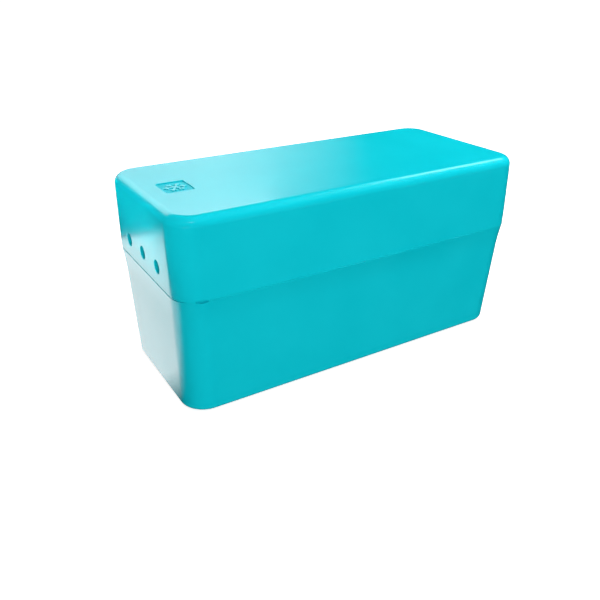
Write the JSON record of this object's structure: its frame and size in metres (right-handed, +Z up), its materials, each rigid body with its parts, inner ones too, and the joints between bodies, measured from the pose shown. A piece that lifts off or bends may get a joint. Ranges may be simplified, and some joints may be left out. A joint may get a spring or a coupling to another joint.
{
  "type": "cryogenic storage box",
  "caption": "Long turquoise box for vials: a drafted tub with a hinged, vented lid and a lift-out divider of slotted strips.",
  "frame": {"origin": "middle of the whole object's footprint, on the surface that the box stands on", "axes": "+Z up, +X along the box to the right seen from the front, +Y towards the hinges at the back"},
  "size_m": [0.2, 0.0978, 0.1],
  "materials": {
    "shell": "satin-gloss turquoise",
    "divider": "matte, natural white",
    "pin": "drawn stainless wire"
  },
  "bodies": {
    "base": {"base_tub": "shell", "hinge_pin_left": "pin", "hinge_pin_right": "pin"},
    "lid": {"lid": "shell"},
    "divider_grid": {"long_divider_1": "divider", "long_divider_2": "divider", "long_divider_3": "divider", "cross_divider_1": "divider", "cross_divider_2": "divider", "cross_divider_3": "divider", "cross_divider_4": "divider", "cross_divider_5": "divider", "cross_divider_6": "divider", "cross_divider_7": "divider", "cross_divider_8": "divider", "cross_divider_9": "divider"}
  },
  "joints": [
    {"name": "lid_hinge", "type": "hinge", "parent": "base", "child": "lid", "pos_m": [0, 0.0457, 0.0615], "axis": [-1, 0, 0], "range_deg": [0, 110]},
    {"name": "divider_lift", "type": "slide", "parent": "base", "child": "divider_grid", "axis": [0, 0, 1], "range_m": [0, 0.04]}
  ]
}
